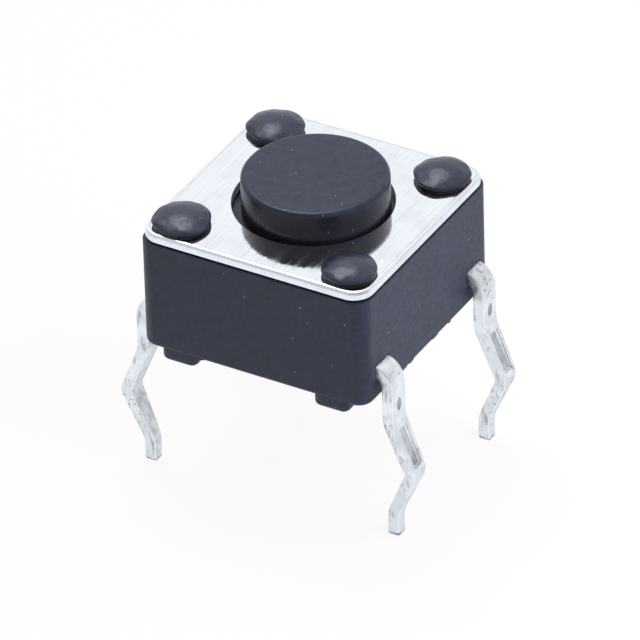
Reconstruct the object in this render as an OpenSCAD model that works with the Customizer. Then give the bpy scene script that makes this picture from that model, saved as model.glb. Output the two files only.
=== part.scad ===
// Square tactile push button switch with four snap-in legs and a round button.
// Z = 0 is the top of the circuit board that the housing stands on; the legs go down through it.
// X runs along the two leg strips, Y across them.

/* [Housing] */
// Width of the moulded housing, along the leg strips
body_w = 6.2; // [5.6:0.1:9]
// Depth of the moulded housing, across the leg strips
body_d = 6.2; // [5.6:0.1:9]
// Height of the moulding, from its underside to the cover plate
body_h = 3.02; // [2.8:0.02:8]
// Radius of the four upright corners
body_corner_r = 0.4; // [0.2:0.05:0.8]
// Rounding of the lower outer edge
body_edge_r = 0.12; // [0.05:0.01:0.3]

/* [Feet] */
// Side of each square foot
foot_w = 0.86; // [0.5:0.02:1.2]
// Height of the feet, which lift the housing off the board
foot_h = 0.33; // [0.1:0.01:0.6]
// From the side faces of the housing to the feet, along X
foot_inset_x = 0.58; // [0.1:0.02:1]
// From the front and back faces of the housing to the feet, along Y
foot_inset_y = 0.06; // [0.02:0.02:0.6]
// Rounding of a foot's upright corners
foot_r = 0.14; // [0.05:0.01:0.25]
// Rounding of a foot's lower edge
foot_edge_r = 0.11; // [0.03:0.01:0.2]

/* [Cover plate] */
// Thickness of the stamped plate
cover_t = 0.22; // [0.15:0.01:0.4]
// How far the plate's edge lies inside the housing's faces
cover_inset = 0.02; // [0.01:0.01:0.2]
// Radius of the plate's corners
cover_corner_r = 0.5; // [0.3:0.05:0.9]
// Rounding that the punch leaves along the plate's upper edge
cover_edge_r = 0.1; // [0.04:0.01:0.14]
// Rounding that the punch leaves round the button's hole
hole_edge_r = 0.05; // [0.02:0.01:0.1]

/* [Staked posts] */
// Diameter of the moulded posts that pass through the plate
post_d = 0.94; // [0.6:0.02:1.1]
// Radial clearance of a post in its hole
post_gap = 0.03; // [0.01:0.01:0.08]
// From the housing's faces to the post centres
post_inset = 0.81; // [0.65:0.01:1]
// Diameter of the heads that hot staking forms over the plate
head_d = 1.4; // [1.2:0.05:1.6]
// Height of those heads
head_h = 0.36; // [0.25:0.01:0.6]
// Height of the thinner skirt under a head's rim
head_skirt_h = 0.11; // [0.08:0.01:0.2]
// How far the skirt lies inside the rim
head_skirt_inset = 0.05; // [0.02:0.01:0.12]
// Depth of the groove between the skirt and the rim
head_groove = 0.02; // [0.01:0.01:0.05]
// Rounding of the skirt's foot, where the soft resin met the plate
head_foot_r = 0.03; // [0.01:0.01:0.05]

/* [Button] */
// Diameter of the button
button_d = 3.6; // [2.8:0.1:4]
// Height of the button above the plate
button_rise = 0.8; // [0.5:0.05:12]
// Rounding of the button's upper edge
button_edge_r = 0.11; // [0.05:0.01:0.3]
// Radial clearance of the button in the plate's hole
button_gap = 0.15; // [0.08:0.01:0.3]
// How far the button's flange reaches under the plate
flange_lip = 0.2; // [0.15:0.01:0.3]
// Thickness of the flange
flange_t = 0.6; // [0.3:0.05:0.8]
// Chamfer along both edges of the flange
flange_chamfer = 0.06; // [0.02:0.01:0.1]
// Radial clearance of the flange in the housing
flange_gap = 0.12; // [0.05:0.01:0.2]
// Gap left between the flange and the plate at rest
flange_play = 0.02; // [0.01:0.01:0.05]
// Diameter of the boss that bears on the snap dome
nub_d = 1.5; // [0.8:0.1:2]
// Distance the button travels when it is pressed
travel = 0.25; // [0.15:0.01:0.35]

/* [Snap dome] */
// Diameter of the dome
dome_d = 4.1; // [3.6:0.1:4.4]
// Thickness of the spring sheet
dome_t = 0.06; // [0.04:0.01:0.1]
// Gap between the dome's middle and the contact when fully pressed
dome_spare = 0.03; // [0.01:0.01:0.1]
// How far the dome's rim lies outside the middle of each outer contact
rim_seat = 0.125; // [0.05:0.005:0.15]

/* [Leg strips] */
// Thickness of the metal strip
strip_t = 0.3; // [0.2:0.01:0.4]
// Width of the strip and of the upper legs
strip_w = 0.64; // [0.5:0.02:0.8]
// From the housing's front and back faces to the middle of each strip
strip_inset = 0.85; // [0.6:0.01:1.2]
// Height of the strip's underside above the housing's underside
strip_lift = 0.65; // [0.35:0.05:1]
// Resin over the strip on the cavity floor
strip_cover = 0.15; // [0.1:0.01:0.3]
// How far the contacts stand proud of the cavity floor
contact_proud = 0.05; // [0.02:0.01:0.1]
// Diameter of the middle contact
contact_mid_d = 0.9; // [0.6:0.05:1.2]
// Diameter of each outer contact
contact_out_d = 0.5; // [0.4:0.05:0.6]
// Extra diameter of the holes that the mould's support pins leave under the strips
support_play = 0.06; // [0.02:0.01:0.2]

/* [Legs] */
// Air between the housing's side and the upright stretch of a leg
leg_gap = 0.13; // [0.08:0.01:0.5]
// Length of the legs below the board's face
leg_len = 3.65; // [2.8:0.05:5]
// Depth at which a leg turns outwards
leg_knee_z = 0.3; // [0.2:0.05:0.8]
// Depth of the kink that holds a leg in its board hole
leg_kink_z = 1.7; // [1.2:0.05:2]
// How far the kink stands out from the upright stretch
leg_kink_out = 0.57; // [0.2:0.01:0.7]
// Depth at which a leg starts to narrow
leg_taper_z = 1.2; // [0.5:0.05:1.6]
// Length of the straight stretch at the tip
leg_tail = 0.65; // [0.3:0.05:1]
// How far the tip lies inside the upright stretch
leg_tip_in = 0; // [0:0.01:0.3]
// Width of a leg at its tip
leg_tip_w = 0.34; // [0.3:0.02:0.6]
// Cut corners at the tip
leg_tip_cut = 0.08; // [0.03:0.01:0.12]
// Inner radius of the bend at the housing, which starts inside the resin
leg_bend_r = 0.3; // [0.05:0.01:0.35]
// Radius of the soft bends, to the middle of the metal
leg_soft_r = 0.9; // [0.4:0.05:1.5]
// Radius of the kink, to the middle of the metal
leg_kink_r = 0.35; // [0.2:0.05:0.6]
// Width of the channel coined into the outer face between the knee and the kink
channel_w = 0.34; // [0.1:0.02:0.44]
// Depth of that channel
channel_depth = 0.06; // [0.02:0.01:0.1]
// From the knee to the channel's upper end
channel_knee_gap = 0.24; // [0.18:0.01:0.3]
// From the channel's lower end to the kink
channel_kink_gap = 0.17; // [0.15:0.01:0.3]
// Width of the dimple coined into the outer face above the knee
dimple_w = 0.2; // [0.1:0.02:0.4]
// Height of that dimple
dimple_h = 0.36; // [0.2:0.02:0.5]
// Depth of that dimple
dimple_depth = 0.05; // [0.02:0.01:0.1]
// From the board's face up to the dimple's middle
dimple_z = 0.15; // [0.1:0.01:0.3]

/* [Hidden] */
$fn = 64;
resin = [0.24, 0.24, 0.27];
button_resin = [0.3, 0.3, 0.34];
plate_metal = [0.86, 0.87, 0.88];
dome_metal = [0.75, 0.75, 0.73];
tinned = [0.82, 0.83, 0.86];

// Overlap that fuses two shapes of one piece
fuse = 0.05;
// Steps along each bend and each rounded profile
arc_steps = 6;
// Straight metal that a leg's first bend needs before it, in bend radii
bend_room = 2.2;
// Largest share of a straight stretch that one bend may take up
bend_share = 0.48;
// From the middle to each support hole, as a share of the housing's width
support_place = 1 / 6;

// Heights, from the board upwards
body_z = foot_h;
strip_z = body_z + strip_lift;
floor_z = strip_z + strip_t + strip_cover;
contact_z = floor_z + contact_proud;
dome_rise = travel + dome_spare;
dome_top_z = contact_z + dome_rise + dome_t;
body_top_z = body_z + body_h;
cover_top_z = body_top_z + cover_t;
flange_top_z = body_top_z - flange_play;
button_top_z = cover_top_z + button_rise;

// Sizes that follow from the button and its clearances
hole_d = button_d + 2 * button_gap;
flange_d = hole_d + 2 * flange_lip;
cavity_d = flange_d + 2 * flange_gap;

// Places that follow from the housing's faces
post_x = body_w / 2 - post_inset;
post_y = body_d / 2 - post_inset;
foot_x = body_w / 2 - foot_inset_x - foot_w / 2;
foot_y = body_d / 2 - foot_inset_y - foot_w / 2;
strip_y = body_d / 2 - strip_inset;
leg_x = body_w / 2 + leg_gap + strip_t / 2;
contact_x = dome_d / 2 - rim_seat;
support_hole_d = strip_w + support_play;
support_hole_x = body_w * support_place;

// Points of an arc about c, from angle a0 to a1
function arc(c, r, a0, a1, n = arc_steps) =
    [for (i = [0:n]) let (a = a0 + (a1 - a0) * i / n) c + r * [cos(a), sin(a)]];

function unit(v) = v / norm(v);

// The bend of a path at corner b, between its neighbours a and c.
// The radius gives way where a stretch is too short for it.
function bend(a, b, c, r) =
    let (
        u = unit(a - b),
        v = unit(c - b),
        half = acos(u * v) / 2,
        reach = min(r / tan(half), bend_share * min(norm(a - b), norm(c - b))),
        radius = reach * tan(half),
        middle = b + unit(u + v) * radius / sin(half),
        start = b + u * reach - middle,
        finish = b + v * reach - middle,
        a0 = atan2(start[1], start[0]),
        turn = atan2(finish[1], finish[0]) - a0,
        sweep = turn > 180 ? turn - 360 : turn < -180 ? turn + 360 : turn
    )
    arc(middle, radius, a0, a0 + sweep);

// A path through the corners, with each inner corner bent to its radius
function bent_path(corners, radii) = [
    corners[0],
    for (i = [1:len(corners) - 2]) each bend(corners[i - 1], corners[i], corners[i + 1], radii[i - 1]),
    corners[len(corners) - 1]
];

// The direction square to a path at point i
function square_to(path, i) =
    let (
        before = path[max(i - 1, 0)],
        after = path[min(i + 1, len(path) - 1)],
        along = unit(after - before)
    )
    [-along[1], along[0]];

// The outline of a strip of thickness t that follows a path
function ribbon(path, t) =
    let (last = len(path) - 1)
    concat(
        [for (i = [0:last]) path[i] + square_to(path, i) * t / 2],
        [for (i = [last:-1:0]) path[i] - square_to(path, i) * t / 2]
    );

// Half section of a slab's rim, with rounded upper and lower corners
module rim_section(r, h, top_r, bottom_r) {
    difference() {
        square([r, h]);
        if (top_r > 0)
            translate([r - top_r, h - top_r])
                difference() {
                    square(2 * top_r);
                    circle(top_r);
                }
        if (bottom_r > 0)
            translate([r - bottom_r, bottom_r])
                difference() {
                    translate([0, -2 * bottom_r])
                        square(2 * bottom_r);
                    circle(bottom_r);
                }
    }
}

// A slab with upright corners of radius r and rounded upper and lower edges, standing on z = 0
module rounded_slab(w, d, h, r, top_r = 0, bottom_r = 0) {
    inner_w = w - 2 * r;
    inner_d = d - 2 * r;
    translate([-inner_w / 2, -inner_d / 2, 0])
        cube([inner_w, inner_d, h]);
    for (side = [0:3]) {
        along = side % 2 == 0 ? inner_d : inner_w;
        out = side % 2 == 0 ? inner_w : inner_d;
        rotate([0, 0, 90 * side]) {
            translate([out / 2, along / 2, 0])
                rotate([90, 0, 0])
                    linear_extrude(along)
                        rim_section(r, h, top_r, bottom_r);
            translate([out / 2, along / 2, 0])
                rotate_extrude(angle = 90)
                    rim_section(r, h, top_r, bottom_r);
        }
    }
}

module at_posts() {
    for (sx = [-1, 1], sy = [-1, 1])
        translate([sx * post_x, sy * post_y, 0])
            children();
}

// The mushroom head that staking leaves: a skirt, a shallow groove, a rim and a domed top
module staked_head() {
    rim_r = head_d / 2;
    skirt_r = rim_r - head_skirt_inset;
    rim_z = head_skirt_h + head_skirt_inset;
    groove_z = head_skirt_h - head_groove;
    foot_r = min(head_foot_r, groove_z / 2);
    crown = [
        for (i = [0:arc_steps])
            let (a = 90 * i / arc_steps)
            [rim_r * cos(a), rim_z + (head_h - rim_z) * sin(a)]
    ];
    rotate_extrude()
        polygon(concat(
            [[0, 0]],
            arc([skirt_r - foot_r, foot_r], foot_r, -90, 0),
            [[skirt_r, groove_z], [skirt_r - head_groove, head_skirt_h]],
            crown
        ));
}

module foot() {
    rounded_slab(foot_w, foot_w, foot_h + fuse, foot_r, bottom_r = min(foot_edge_r, foot_r, foot_h / 2));
}

// Leg corners in the X-Z plane, from inside the housing to the tip
leg_start = [leg_x - bend_room * (leg_bend_r + strip_t / 2), strip_z + strip_t / 2];
leg_top = [leg_x, leg_start[1]];
leg_knee = [leg_x, -leg_knee_z];
leg_kink = [leg_x + leg_kink_out, -leg_kink_z];
leg_turn = [leg_x - leg_tip_in, -leg_len + leg_tail];
leg_tip = [leg_x - leg_tip_in, -leg_len];
leg_path = bent_path(
    [leg_start, leg_top, leg_knee, leg_kink, leg_turn, leg_tip],
    [leg_bend_r + strip_t / 2, leg_soft_r, leg_kink_r, leg_soft_r]
);

// Front view of a leg: full width at the top, then drawn in evenly to the cut tip
module leg_front_view() {
    half = strip_w / 2;
    tip = leg_tip_w / 2;
    top = leg_top[1] + strip_t;
    polygon([
        [-half, top],
        [half, top],
        [half, -leg_taper_z],
        [tip, leg_turn[1]],
        [tip, -leg_len + leg_tip_cut],
        [tip - leg_tip_cut, -leg_len],
        [leg_tip_cut - tip, -leg_len],
        [-tip, -leg_len + leg_tip_cut],
        [-tip, leg_turn[1]],
        [-half, -leg_taper_z]
    ]);
}

// The channel in the outer face of the slanting stretch between the knee and the kink
module leg_channel() {
    slant = leg_kink - leg_knee;
    translate([leg_knee[0], 0, leg_knee[1]])
        rotate([0, atan2(-slant[0], -slant[1]), 0])
            translate([strip_t / 2 - channel_depth, -channel_w / 2, channel_kink_gap - norm(slant)])
                cube([channel_depth + fuse, channel_w, norm(slant) - channel_knee_gap - channel_kink_gap]);
}

// The round-ended dimple in the outer face of the upright stretch
module leg_dimple() {
    straight = dimple_h - dimple_w;
    translate([leg_x + strip_t / 2 - dimple_depth, 0, dimple_z]) {
        translate([0, -dimple_w / 2, -straight / 2])
            cube([dimple_depth + fuse, dimple_w, straight]);
        for (side = [-1, 1])
            translate([0, 0, side * straight / 2])
                rotate([0, 90, 0])
                    cylinder(d = dimple_w, h = dimple_depth + fuse);
    }
}

// One leg on the +X side, centred on Y = 0
module leg() {
    difference() {
        intersection() {
            translate([0, strip_w / 2, 0])
                rotate([90, 0, 0])
                    linear_extrude(strip_w)
                        polygon(ribbon(leg_path, strip_t));
            translate([leg_start[0] - fuse, 0, 0])
                rotate([90, 0, 90])
                    linear_extrude(leg_x + leg_kink_out + strip_t - leg_start[0])
                        leg_front_view();
        }
        leg_channel();
        leg_dimple();
    }
}

// The straight strip inside the housing, with a leg at each end
module leg_strip(y) {
    translate([0, y, 0]) {
        translate([-leg_start[0] - fuse, -strip_w / 2, strip_z])
            cube([2 * (leg_start[0] + fuse), strip_w, strip_t]);
        for (side = [0, 180])
            rotate([0, 0, side])
                leg();
    }
}

// A flat arm from a strip to a contact at [x, 0], with the formed contact on top
module contact_arm(x, y, d) {
    reach = abs(y);
    translate([x - d / 2, min(y, 0), strip_z])
        cube([d, reach, strip_t]);
    translate([x, 0, strip_z])
        cylinder(d = d, h = contact_z - strip_z);
}

module terminal_front_metal() {
    leg_strip(-strip_y);
    contact_arm(0, -strip_y, contact_mid_d);
}

module terminal_back_metal() {
    leg_strip(strip_y);
    for (side = [-1, 1])
        contact_arm(side * contact_x, strip_y, contact_out_d);
}

module base_housing() {
    color(resin)
        difference() {
            union() {
                translate([0, 0, body_z])
                    rounded_slab(body_w, body_d, body_h, body_corner_r, 0, body_edge_r);
                for (sx = [-1, 1], sy = [-1, 1])
                    translate([sx * foot_x, sy * foot_y, 0])
                        foot();
                at_posts()
                    translate([0, 0, body_top_z - fuse])
                        cylinder(d = post_d, h = cover_t + 2 * fuse);
                at_posts()
                    translate([0, 0, cover_top_z])
                        staked_head();
            }
            translate([0, 0, floor_z])
                cylinder(d = cavity_d, h = body_top_z - floor_z + fuse);
            for (sx = [-1, 1], sy = [-1, 1])
                translate([sx * support_hole_x, sy * strip_y, 0])
                    cylinder(d = support_hole_d, h = strip_z);
            terminal_front_metal();
            terminal_back_metal();
        }
}

// Half section of what the punch takes out for the button, wider where the plate's edge rolls over
module punched_section() {
    hole_r = hole_d / 2;
    translate([0, -fuse])
        square([hole_r, cover_t + 2 * fuse]);
    difference() {
        translate([0, cover_t - hole_edge_r])
            square([hole_r + hole_edge_r, hole_edge_r + fuse]);
        translate([hole_r + hole_edge_r, cover_t - hole_edge_r])
            circle(hole_edge_r);
    }
}

module cover_plate() {
    color(plate_metal)
        difference() {
            translate([0, 0, body_top_z])
                rounded_slab(
                    body_w - 2 * cover_inset,
                    body_d - 2 * cover_inset,
                    cover_t,
                    cover_corner_r,
                    top_r = cover_edge_r
                );
            translate([0, 0, body_top_z])
                rotate_extrude()
                    punched_section();
            at_posts()
                translate([0, 0, body_top_z - fuse])
                    cylinder(d = post_d + 2 * post_gap, h = cover_t + 2 * fuse);
        }
}

// Half section of the button's flange
module flange_section() {
    r = flange_d / 2;
    polygon([
        [0, 0],
        [r - flange_chamfer, 0],
        [r, flange_chamfer],
        [r, flange_t - flange_chamfer],
        [r - flange_chamfer, flange_t],
        [0, flange_t]
    ]);
}

module plunger() {
    stem_r = button_d / 2;
    flange_z = flange_top_z - flange_t;
    color(button_resin)
        rotate_extrude()
            union() {
                difference() {
                    translate([0, flange_z])
                        square([stem_r, button_top_z - flange_z]);
                    translate([stem_r - button_edge_r, button_top_z - button_edge_r])
                        difference() {
                            square(2 * button_edge_r);
                            circle(button_edge_r);
                        }
                }
                translate([0, flange_z])
                    flange_section();
                translate([0, dome_top_z])
                    square([nub_d / 2, flange_z - dome_top_z + fuse]);
            }
}

// A thin spherical cap whose rim stands on the outer contacts
module snap_dome() {
    rim_r = dome_d / 2;
    sphere_r = (rim_r * rim_r + dome_rise * dome_rise) / (2 * dome_rise);
    centre_z = contact_z + dome_rise - sphere_r;
    color(dome_metal)
        difference() {
            intersection() {
                translate([0, 0, centre_z])
                    sphere(sphere_r + dome_t);
                translate([0, 0, contact_z])
                    cylinder(r = rim_r, h = dome_rise + dome_t);
            }
            translate([0, 0, centre_z])
                sphere(sphere_r);
        }
}

module terminal_front() {
    color(tinned)
        terminal_front_metal();
}

module terminal_back() {
    color(tinned)
        terminal_back_metal();
}

base_housing();
cover_plate();
plunger();
snap_dome();
terminal_front();
terminal_back();
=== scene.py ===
"""Looks of a tactile push button switch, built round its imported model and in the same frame.

The moulded housing, the stamped cover plate, the button, the snap dome and the two formed leg
strips are built here as finer meshes at the sizes of their solids.
"""

import logging
import math
from dataclasses import dataclass, replace
from enum import Enum
from typing import Iterable, Sequence

import bmesh
import bpy
from mathutils import Matrix, Vector, noise


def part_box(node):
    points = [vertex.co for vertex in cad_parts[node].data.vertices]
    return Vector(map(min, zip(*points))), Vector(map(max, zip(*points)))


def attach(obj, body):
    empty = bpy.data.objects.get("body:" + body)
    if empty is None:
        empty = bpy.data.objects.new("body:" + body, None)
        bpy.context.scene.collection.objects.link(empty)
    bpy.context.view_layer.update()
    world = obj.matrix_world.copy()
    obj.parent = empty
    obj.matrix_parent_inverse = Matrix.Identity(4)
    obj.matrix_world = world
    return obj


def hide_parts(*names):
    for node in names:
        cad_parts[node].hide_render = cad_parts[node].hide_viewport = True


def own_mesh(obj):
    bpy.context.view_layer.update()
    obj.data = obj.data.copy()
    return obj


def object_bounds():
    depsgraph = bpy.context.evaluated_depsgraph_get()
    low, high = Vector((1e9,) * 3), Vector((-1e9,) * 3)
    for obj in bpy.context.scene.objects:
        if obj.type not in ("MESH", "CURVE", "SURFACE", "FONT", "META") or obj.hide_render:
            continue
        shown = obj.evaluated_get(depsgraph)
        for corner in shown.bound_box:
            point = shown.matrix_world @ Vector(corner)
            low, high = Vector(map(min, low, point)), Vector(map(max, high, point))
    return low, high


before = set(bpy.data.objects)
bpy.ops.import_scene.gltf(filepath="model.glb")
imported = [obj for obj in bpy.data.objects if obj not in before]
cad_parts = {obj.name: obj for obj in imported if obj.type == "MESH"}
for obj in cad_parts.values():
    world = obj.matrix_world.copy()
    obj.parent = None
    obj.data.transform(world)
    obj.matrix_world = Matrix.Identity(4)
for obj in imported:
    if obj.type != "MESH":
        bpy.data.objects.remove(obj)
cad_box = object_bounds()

log = logging.getLogger("switch")

MM = 0.001
# Points nearer than SAME are one point. NEAR does for heights and for the two halves of a strip.
SAME = 1e-8
NEAR = 1e-7
# A tool or foot runs PAST the face that it goes through, and a HAIR is too small to see.
PAST = 0.1 * MM
HAIR = 0.01 * MM
STRIP_WIDTH = 0.64 * MM
STRIP_THICKNESS = 0.3 * MM
CONTACT_RISE = 0.2 * MM
POST_INSET = 0.81 * MM
AXIS = (0.0, 0.0)
ORIGIN = (0.0, 0.0, 0.0)
UP = (0.0, 0.0, 1.0)
SIDES = (-1, 1)
CORNERS = tuple((x, y) for x in SIDES for y in SIDES)
# Faces across a corner or tight bend, a rim, a small edge, and a soft bend.
CORNER_FACES = 10
RIM_FACES = 5
EDGE_FACES = 3
SOFT_FACES = 8
# Faces round a pin or contact, a post's hole, a head, a hollow or dome, and the button.
PIN_FACES = 40
POST_FACES = 48
HEAD_FACES = 72
HOLLOW_FACES = 96
BUTTON_FACES = 128
# A face lies across an axis where this much of its normal runs along it.
ACROSS = 0.999
# The numbers of a Mix node's colour sockets.
MIX_FIRST = 6
MIX_SECOND = 7
MIX_RESULT = 2
WHITE = (1.0, 1.0, 1.0)
EVEN = (1.0, 1.0, 1.0)
RISE = (0.0, 1.0)
FALL = (1.0, 0.0)

Colour = tuple[float, float, float]
Point = tuple[float, float, float]
Pair = tuple[float, float]
Corner = tuple[int, int]
Mesh = bmesh.types.BMesh
Piece = bpy.types.Object
Material = bpy.types.Material
Socket = bpy.types.NodeSocket
Sockets = bpy.types.bpy_prop_collection


# ---------------- mesh tools


class Cut(Enum):
    """What a tool does to the piece that it meets."""

    ADD = "UNION"
    REMOVE = "DIFFERENCE"


def bevel(bm: Mesh, edges: Iterable[bmesh.types.BMEdge], width: float, segments: int) -> None:
    """Rounds edges.

    Args:
        bm: the mesh.
        edges: the edges to round.
        width: how far the rounding reaches from each edge, in metres.
        segments: faces across the rounding.
    """
    bmesh.ops.bevel(
        bm,
        geom=list(edges),
        offset=width,
        offset_type="OFFSET",
        segments=segments,
        profile=0.5,
        affect="EDGES",
        material=-1,
    )


def fit(bm: Mesh, size: Sequence[float], place: Sequence[float]) -> Mesh:
    """Stretches a mesh that stands round the origin, and moves it.

    Args:
        bm: the mesh.
        size: factors on x, y and z.
        place: where its middle goes.

    Returns:
        The same mesh.
    """
    bmesh.ops.scale(bm, vec=size, verts=bm.verts)
    bmesh.ops.translate(bm, vec=place, verts=bm.verts)
    return bm


def block(size: Sequence[float], centre: Sequence[float]) -> Mesh:
    """Makes a box.

    Args:
        size: its sides, in metres.
        centre: its middle.

    Returns:
        The mesh.
    """
    bm = bmesh.new()
    bmesh.ops.create_cube(bm, size=1.0)
    return fit(bm, size, centre)


def slab(
    size: Sequence[float], centre: Sequence[float], corner: float, top: float, bottom: float
) -> Mesh:
    """Makes a box with rounded upright corners and rounded upper and lower rims.

    Args:
        size: its sides, in metres.
        centre: its middle.
        corner: radius of the upright corners.
        top: radius of the upper rim.
        bottom: radius of the lower rim.

    Returns:
        The mesh.
    """
    bm = block(size, centre)
    upright = [e for e in bm.edges if abs(e.verts[0].co.z - e.verts[1].co.z) > size[2] / 2]
    bevel(bm, upright, corner, CORNER_FACES)
    for radius, side in ((top, 1), (bottom, -1)):
        level = centre[2] + side * size[2] / 2
        rim = [e for e in bm.edges if all(abs(v.co.z - level) < NEAR for v in e.verts)]
        bevel(bm, rim, radius, RIM_FACES)
    return bm


def turned(profile: Sequence[Pair], centre: Pair, steps: int) -> Mesh:
    """Turns a half section round an upright axis.

    Args:
        profile: radius and height of each point, from the axis back to the axis, in metres.
        centre: x and y of the axis.
        steps: faces round the axis.

    Returns:
        The closed mesh.
    """
    bm = bmesh.new()
    verts = [bm.verts.new((r, 0.0, z)) for r, z in profile]
    edges = [bm.edges.new(pair) for pair in zip(verts, verts[1:])]
    bmesh.ops.spin(
        bm,
        geom=verts + edges,
        cent=ORIGIN,
        axis=UP,
        angle=math.tau,
        steps=steps,
        use_merge=True,
    )
    bmesh.ops.remove_doubles(bm, verts=bm.verts, dist=SAME)
    bmesh.ops.recalc_face_normals(bm, faces=bm.faces)
    bmesh.ops.translate(bm, vec=(*centre, 0.0), verts=bm.verts)
    return bm


def drum(diameter: float, low: float, high: float, centre: Pair, steps: int) -> Mesh:
    """Makes a closed upright cylinder.

    Args:
        diameter: its diameter, in metres.
        low: height of its lower face.
        high: height of its upper face.
        centre: x and y of its axis.
        steps: faces round it.

    Returns:
        The mesh.
    """
    bm = bmesh.new()
    bmesh.ops.create_cone(
        bm,
        cap_ends=True,
        segments=steps,
        radius1=diameter / 2,
        radius2=diameter / 2,
        depth=high - low,
    )
    bmesh.ops.translate(bm, vec=(*centre, (low + high) / 2), verts=bm.verts)
    return bm


def arc(centre: Pair, radii: Pair, first: float, last: float, steps: int) -> list[Pair]:
    """Gives points on an ellipse.

    Args:
        centre: radius and height of its middle.
        radii: its half axes, outwards and upwards.
        first: the angle of the first point, in degrees.
        last: the angle of the last point.
        steps: stretches between them.

    Returns:
        Its points.
    """
    angles = [math.radians(first + (last - first) * i / steps) for i in range(steps + 1)]
    return [(centre[0] + radii[0] * math.cos(a), centre[1] + radii[1] * math.sin(a)) for a in angles]


def to_object(bm: Mesh, name: str, finishes: Iterable[Material] = ()) -> Piece:
    """Turns a mesh into an object in the scene.

    Args:
        bm: the mesh, which is freed.
        name: the object's name.
        finishes: its materials.

    Returns:
        The object.
    """
    mesh = bpy.data.meshes.new(name)
    bm.to_mesh(mesh)
    bm.free()
    for finish in finishes:
        mesh.materials.append(finish)
    obj = bpy.data.objects.new(name, mesh)
    bpy.context.scene.collection.objects.link(obj)
    return obj


def cut(obj: Piece, tools: Iterable[Mesh], how: Cut, finishes: Sequence[Material] = ()) -> None:
    """Adds tools to a piece, or takes them from it.

    Args:
        obj: the piece, whose mesh is replaced.
        tools: closed meshes, which are freed.
        how: whether they are added or removed.
        finishes: the materials of the faces that they leave, by their number in the tool. Without
            them the faces take the piece's own.
    """
    helpers = [to_object(bm, "tool", finishes) for bm in tools]
    for helper in helpers:
        modifier = obj.modifiers.new("cut", "BOOLEAN")
        modifier.operation = how.value
        modifier.solver = "EXACT"
        modifier.material_mode = "TRANSFER" if finishes else "INDEX"
        modifier.object = helper
    bake(obj)
    for helper in helpers:
        bpy.data.meshes.remove(helper.data)


def bake(obj: Piece) -> None:
    """Applies an object's modifiers to its mesh.

    Args:
        obj: the object.
    """
    graph = bpy.context.evaluated_depsgraph_get()
    mesh = bpy.data.meshes.new_from_object(obj.evaluated_get(graph))
    obj.modifiers.clear()
    old = obj.data
    obj.data = mesh
    bpy.data.meshes.remove(old)
    mesh.name = obj.name


def smooth(obj: Piece, sharp_degrees: float = 35.0) -> None:
    """Shades a piece smoothly, with its flat faces kept flat and its sharp edges sharp.

    Args:
        obj: the piece.
        sharp_degrees: the least angle of a sharp edge.
    """
    obj.data.shade_smooth()
    obj.data.set_sharp_from_angle(angle=math.radians(sharp_degrees))
    weighted = obj.modifiers.new("weighted", "WEIGHTED_NORMAL")
    weighted.keep_sharp = True
    bake(obj)


# ---------------- finishes


@dataclass(frozen=True)
class Pattern:
    """A noise: features per millimetre, octaves, the part of it that shows, and its stretch.

    A small stretch draws the pattern out along that axis.
    """

    scale: float = 1.0
    detail: float = 3.0
    part: Pair = (0.3, 0.7)
    stretch: Point = EVEN


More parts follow.
